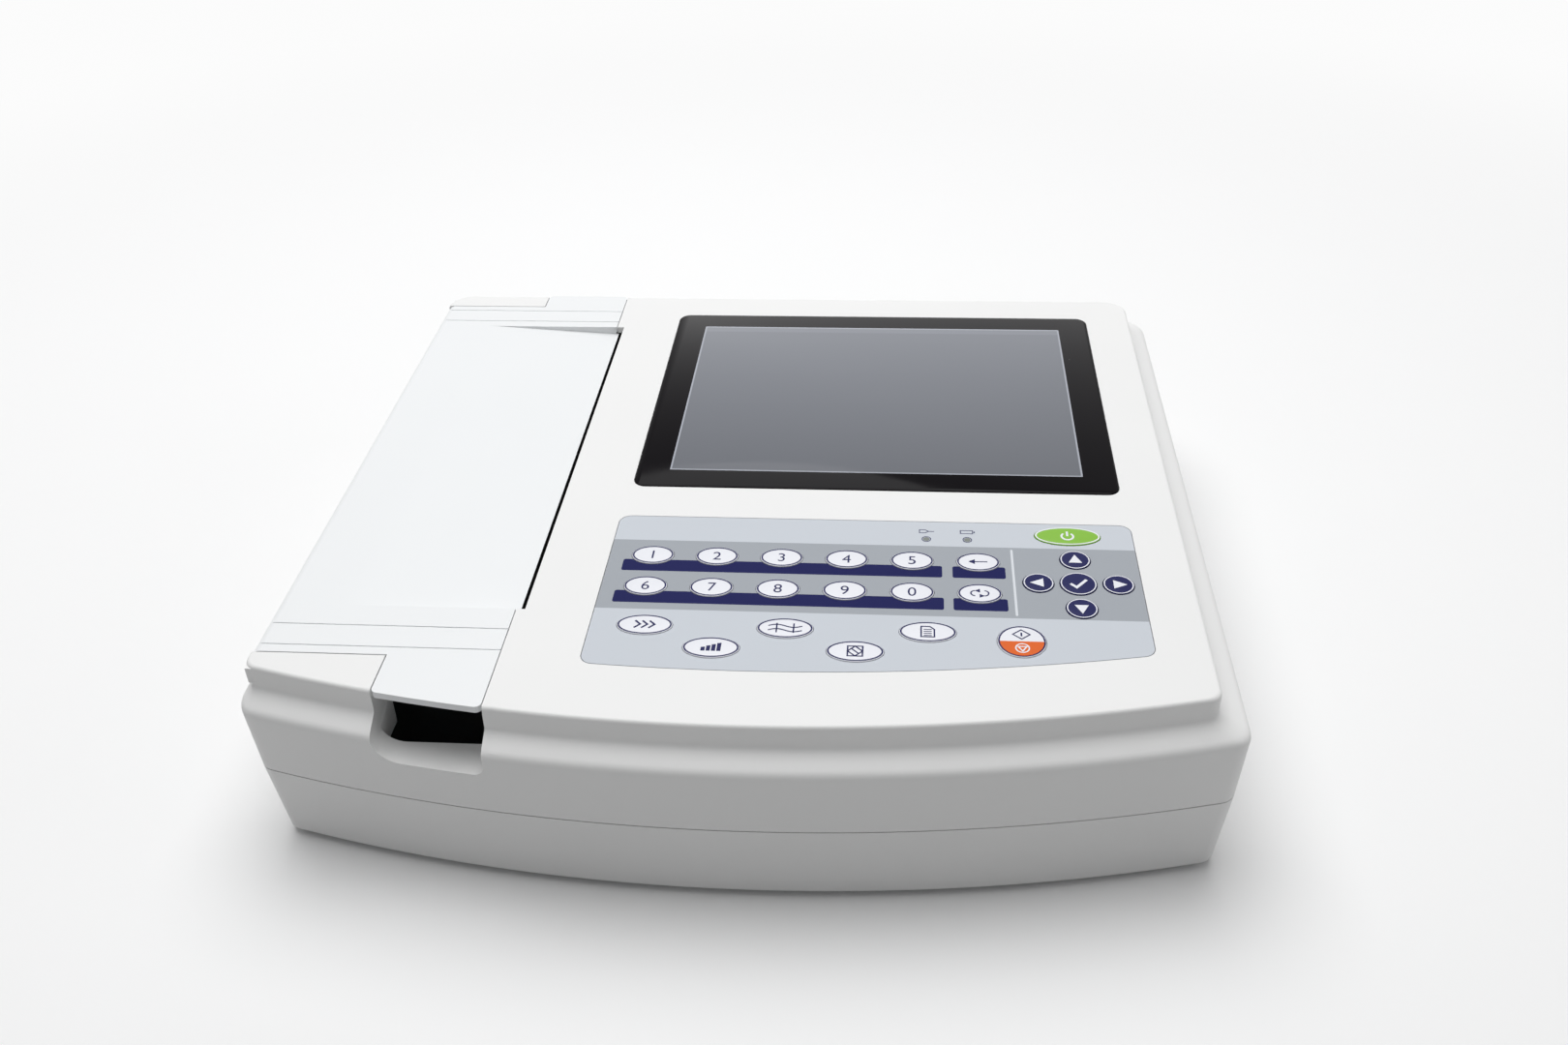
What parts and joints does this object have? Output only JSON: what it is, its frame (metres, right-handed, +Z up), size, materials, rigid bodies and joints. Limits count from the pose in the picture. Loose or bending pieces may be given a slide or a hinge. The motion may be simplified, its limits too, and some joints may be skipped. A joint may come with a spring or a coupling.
{
  "type": "electrocardiograph recorder",
  "caption": "Desktop ECG recorder: a low sloping case with a lidded thermal printer on the left and a touch screen above a keypad on the right.",
  "frame": {"origin": "under the middle of the case, level with the soles of its feet", "axes": "+X to the operator's right, +Y away from the operator, +Z up"},
  "size_m": [0.347, 0.324, 0.0858],
  "materials": {
    "upper_case": "fine texture",
    "lower_case": "fine texture",
    "printer_lid": "satin",
    "battery_door": "fine texture",
    "keypad_overlay": "satin film",
    "touch_glass": "gloss, black border",
    "lcd_module": "satin",
    "lid_hinge_pin": "drawn",
    "printer_frame": "matte",
    "paper_roll": "matte",
    "paper_spool": "satin",
    "platen_roller": "matte",
    "platen_shaft": "ground",
    "platen_gear": "satin",
    "idler_gear": "satin",
    "motor_pinion": "machined",
    "stepper_motor": "plated",
    "print_head": "extruded",
    "main_board": "solder mask",
    "key_board": "solder mask",
    "power_supply": "plated",
    "battery_pack": "shrink film",
    "mains_inlet": "matte",
    "mains_rocker": "satin",
    "ecg_socket": "plated",
    "usb_socket": "plated",
    "lan_socket": "plated",
    "ground_stud": "plated",
    "foot_front_left": "matte",
    "foot_front_right": "matte",
    "foot_back_left": "matte",
    "foot_back_right": "matte",
    "case_screw_front_left": "plated",
    "case_screw_front_right": "plated",
    "case_screw_back_left": "plated",
    "case_screw_back_right": "plated",
    "key_1": "satin film",
    "key_2": "satin film",
    "key_3": "satin film",
    "key_4": "satin film",
    "key_5": "satin film",
    "key_backspace": "satin film",
    "key_6": "satin film",
    "key_7": "satin film",
    "key_8": "satin film",
    "key_9": "satin film",
    "key_0": "satin film",
    "key_shift": "satin film",
    "key_speed": "satin film",
    "key_gain": "satin film",
    "key_filter": "satin film",
    "key_mode": "satin film",
    "key_print": "satin film",
    "key_up": "satin film",
    "key_down": "satin film",
    "key_left": "satin film",
    "key_right": "satin film",
    "key_ok": "satin film",
    "key_power": "satin film",
    "key_start_stop": "satin film"
  },
  "bodies": {
    "case": {"upper_case": "upper_case", "lower_case": "lower_case", "foot_front_left": "foot_front_left", "foot_front_right": "foot_front_right", "foot_back_left": "foot_back_left", "foot_back_right": "foot_back_right", "case_screw_front_left": "case_screw_front_left", "case_screw_front_right": "case_screw_front_right", "case_screw_back_left": "case_screw_back_left", "case_screw_back_right": "case_screw_back_right", "keypad_overlay": "keypad_overlay", "touch_glass": "touch_glass", "lcd_module": "lcd_module", "key_board": "key_board", "printer_frame": "printer_frame", "stepper_motor": "stepper_motor", "print_head": "print_head", "main_board": "main_board", "power_supply": "power_supply", "battery_pack": "battery_pack", "battery_door": "battery_door", "mains_inlet": "mains_inlet", "ecg_socket": "ecg_socket", "usb_socket": "usb_socket", "lan_socket": "lan_socket", "ground_stud": "ground_stud", "lid_hinge_pin": "lid_hinge_pin"},
    "lid": {"printer_lid": "printer_lid"},
    "platen": {"platen_roller": "platen_roller", "platen_shaft": "platen_shaft", "platen_gear": "platen_gear"},
    "idler": {"idler_gear": "idler_gear"},
    "pinion": {"motor_pinion": "motor_pinion"},
    "roll": {"paper_roll": "paper_roll", "paper_spool": "paper_spool"},
    "rocker": {"mains_rocker": "mains_rocker"},
    "key_1": {"key_1": "key_1"},
    "key_2": {"key_2": "key_2"},
    "key_3": {"key_3": "key_3"},
    "key_4": {"key_4": "key_4"},
    "key_5": {"key_5": "key_5"},
    "key_backspace": {"key_backspace": "key_backspace"},
    "key_6": {"key_6": "key_6"},
    "key_7": {"key_7": "key_7"},
    "key_8": {"key_8": "key_8"},
    "key_9": {"key_9": "key_9"},
    "key_0": {"key_0": "key_0"},
    "key_shift": {"key_shift": "key_shift"},
    "key_speed": {"key_speed": "key_speed"},
    "key_gain": {"key_gain": "key_gain"},
    "key_filter": {"key_filter": "key_filter"},
    "key_mode": {"key_mode": "key_mode"},
    "key_print": {"key_print": "key_print"},
    "key_up": {"key_up": "key_up"},
    "key_down": {"key_down": "key_down"},
    "key_left": {"key_left": "key_left"},
    "key_right": {"key_right": "key_right"},
    "key_ok": {"key_ok": "key_ok"},
    "key_power": {"key_power": "key_power"},
    "key_start_stop": {"key_start_stop": "key_start_stop"}
  },
  "joints": [
    {"name": "lid_hinge", "type": "hinge", "parent": "case", "child": "lid", "pos_m": [-0.1675, 0.0127, 0.07746], "axis": [0, -0.9994, -0.0349], "range_deg": [0, 95]},
    {"name": "platen_spin", "type": "hinge", "parent": "lid", "child": "platen", "pos_m": [-0.0903, 0.01305, 0.06737], "axis": [0, 0.9994, 0.0349], "continuous": true},
    {"name": "idler_spin", "type": "hinge", "parent": "case", "child": "idler", "pos_m": [-0.09269, 0.13261, 0.05329], "axis": [0, 0.9994, 0.0349], "continuous": true},
    {"name": "pinion_spin", "type": "hinge", "parent": "case", "child": "pinion", "pos_m": [-0.08755, 0.13318, 0.03697], "axis": [0, 0.9994, 0.0349], "continuous": true},
    {"name": "roll_spin", "type": "hinge", "parent": "case", "child": "roll", "pos_m": [-0.136, 0.01384, 0.04488], "axis": [0, 0.9994, 0.0349], "continuous": true},
    {"name": "rocker_tilt", "type": "hinge", "parent": "case", "child": "rocker", "pos_m": [0.078, 0.15371, 0.0202], "axis": [-1, 0, 0], "range_deg": [0, 14]},
    {"name": "key_1_press", "type": "slide", "parent": "case", "child": "key_1", "axis": [0, 0.0349, -0.9994], "range_m": [0, 0.0005], "stiffness_N_per_m": 300, "springref_m": -0.0005},
    {"name": "key_2_press", "type": "slide", "parent": "case", "child": "key_2", "axis": [0, 0.0349, -0.9994], "range_m": [0, 0.0005], "stiffness_N_per_m": 300, "springref_m": -0.0005},
    {"name": "key_3_press", "type": "slide", "parent": "case", "child": "key_3", "axis": [0, 0.0349, -0.9994], "range_m": [0, 0.0005], "stiffness_N_per_m": 300, "springref_m": -0.0005},
    {"name": "key_4_press", "type": "slide", "parent": "case", "child": "key_4", "axis": [0, 0.0349, -0.9994], "range_m": [0, 0.0005], "stiffness_N_per_m": 300, "springref_m": -0.0005},
    {"name": "key_5_press", "type": "slide", "parent": "case", "child": "key_5", "axis": [0, 0.0349, -0.9994], "range_m": [0, 0.0005], "stiffness_N_per_m": 300, "springref_m": -0.0005},
    {"name": "key_backspace_press", "type": "slide", "parent": "case", "child": "key_backspace", "axis": [0, 0.0349, -0.9994], "range_m": [0, 0.0005], "stiffness_N_per_m": 300, "springref_m": -0.0005},
    {"name": "key_6_press", "type": "slide", "parent": "case", "child": "key_6", "axis": [0, 0.0349, -0.9994], "range_m": [0, 0.0005], "stiffness_N_per_m": 300, "springref_m": -0.0005},
    {"name": "key_7_press", "type": "slide", "parent": "case", "child": "key_7", "axis": [0, 0.0349, -0.9994], "range_m": [0, 0.0005], "stiffness_N_per_m": 300, "springref_m": -0.0005},
    {"name": "key_8_press", "type": "slide", "parent": "case", "child": "key_8", "axis": [0, 0.0349, -0.9994], "range_m": [0, 0.0005], "stiffness_N_per_m": 300, "springref_m": -0.0005},
    {"name": "key_9_press", "type": "slide", "parent": "case", "child": "key_9", "axis": [0, 0.0349, -0.9994], "range_m": [0, 0.0005], "stiffness_N_per_m": 300, "springref_m": -0.0005},
    {"name": "key_0_press", "type": "slide", "parent": "case", "child": "key_0", "axis": [0, 0.0349, -0.9994], "range_m": [0, 0.0005], "stiffness_N_per_m": 300, "springref_m": -0.0005},
    {"name": "key_shift_press", "type": "slide", "parent": "case", "child": "key_shift", "axis": [0, 0.0349, -0.9994], "range_m": [0, 0.0005], "stiffness_N_per_m": 300, "springref_m": -0.0005},
    {"name": "key_speed_press", "type": "slide", "parent": "case", "child": "key_speed", "axis": [0, 0.0349, -0.9994], "range_m": [0, 0.0005], "stiffness_N_per_m": 300, "springref_m": -0.0005},
    {"name": "key_gain_press", "type": "slide", "parent": "case", "child": "key_gain", "axis": [0, 0.0349, -0.9994], "range_m": [0, 0.0005], "stiffness_N_per_m": 300, "springref_m": -0.0005},
    {"name": "key_filter_press", "type": "slide", "parent": "case", "child": "key_filter", "axis": [0, 0.0349, -0.9994], "range_m": [0, 0.0005], "stiffness_N_per_m": 300, "springref_m": -0.0005},
    {"name": "key_mode_press", "type": "slide", "parent": "case", "child": "key_mode", "axis": [0, 0.0349, -0.9994], "range_m": [0, 0.0005], "stiffness_N_per_m": 300, "springref_m": -0.0005},
    {"name": "key_print_press", "type": "slide", "parent": "case", "child": "key_print", "axis": [0, 0.0349, -0.9994], "range_m": [0, 0.0005], "stiffness_N_per_m": 300, "springref_m": -0.0005},
    {"name": "key_up_press", "type": "slide", "parent": "case", "child": "key_up", "axis": [0, 0.0349, -0.9994], "range_m": [0, 0.0005], "stiffness_N_per_m": 300, "springref_m": -0.0005},
    {"name": "key_down_press", "type": "slide", "parent": "case", "child": "key_down", "axis": [0, 0.0349, -0.9994], "range_m": [0, 0.0005], "stiffness_N_per_m": 300, "springref_m": -0.0005},
    {"name": "key_left_press", "type": "slide", "parent": "case", "child": "key_left", "axis": [0, 0.0349, -0.9994], "range_m": [0, 0.0005], "stiffness_N_per_m": 300, "springref_m": -0.0005},
    {"name": "key_right_press", "type": "slide", "parent": "case", "child": "key_right", "axis": [0, 0.0349, -0.9994], "range_m": [0, 0.0005], "stiffness_N_per_m": 300, "springref_m": -0.0005},
    {"name": "key_ok_press", "type": "slide", "parent": "case", "child": "key_ok", "axis": [0, 0.0349, -0.9994], "range_m": [0, 0.0005], "stiffness_N_per_m": 300, "springref_m": -0.0005},
    {"name": "key_power_press", "type": "slide", "parent": "case", "child": "key_power", "axis": [0, 0.0349, -0.9994], "range_m": [0, 0.0005], "stiffness_N_per_m": 300, "springref_m": -0.0005},
    {"name": "key_start_stop_press", "type": "slide", "parent": "case", "child": "key_start_stop", "axis": [0, 0.0349, -0.9994], "range_m": [0, 0.0005], "stiffness_N_per_m": 300, "springref_m": -0.0005}
  ],
  "couplings": [
    {"joint": "idler_spin", "follows": "platen_spin", "ratio": -0.53571},
    {"joint": "pinion_spin", "follows": "platen_spin", "ratio": 1.25}
  ]
}
